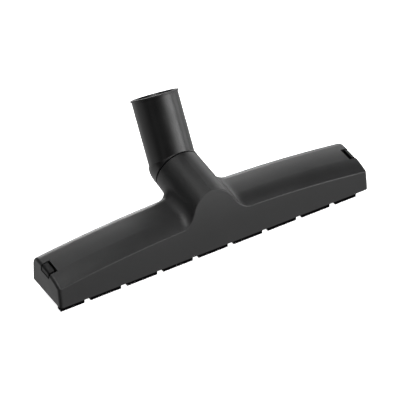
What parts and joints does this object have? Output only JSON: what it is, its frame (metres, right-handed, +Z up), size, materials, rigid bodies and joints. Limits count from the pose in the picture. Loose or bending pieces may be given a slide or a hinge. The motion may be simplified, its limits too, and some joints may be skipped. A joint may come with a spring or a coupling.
{
  "type": "vacuum floor brush head",
  "caption": "Wide floor nozzle for a vacuum cleaner: hollow hood with a clip-in insert carrying front and rear bristle strips, and a swivelling elbow with a hose socket.",
  "frame": {"origin": "on the floor, in the middle of the object's footprint box", "axes": "+X along the head, +Y to the rear (neck and elbow side), +Z up"},
  "size_m": [0.3, 0.1246, 0.1113],
  "materials": {
    "housing": "fine satin moulded texture",
    "elbow": "satin moulded",
    "ring": "plain moulded",
    "insert": "satin moulded",
    "strip": "plain moulded",
    "bristles": "bristle"
  },
  "bodies": {
    "head": {"housing": "housing", "brush_insert": "insert", "front_strip_back": "strip", "rear_strip_back": "strip", "front_bristles": "bristles", "rear_bristles": "bristles"},
    "elbow": {"swivel_elbow": "elbow", "swivel_retaining_ring": "ring"}
  },
  "joints": [
    {"name": "elbow_swivel", "type": "hinge", "parent": "head", "child": "elbow", "pos_m": [0, 0.00274, 0.04838], "axis": [0, 0.9836, 0.1805], "continuous": true}
  ]
}
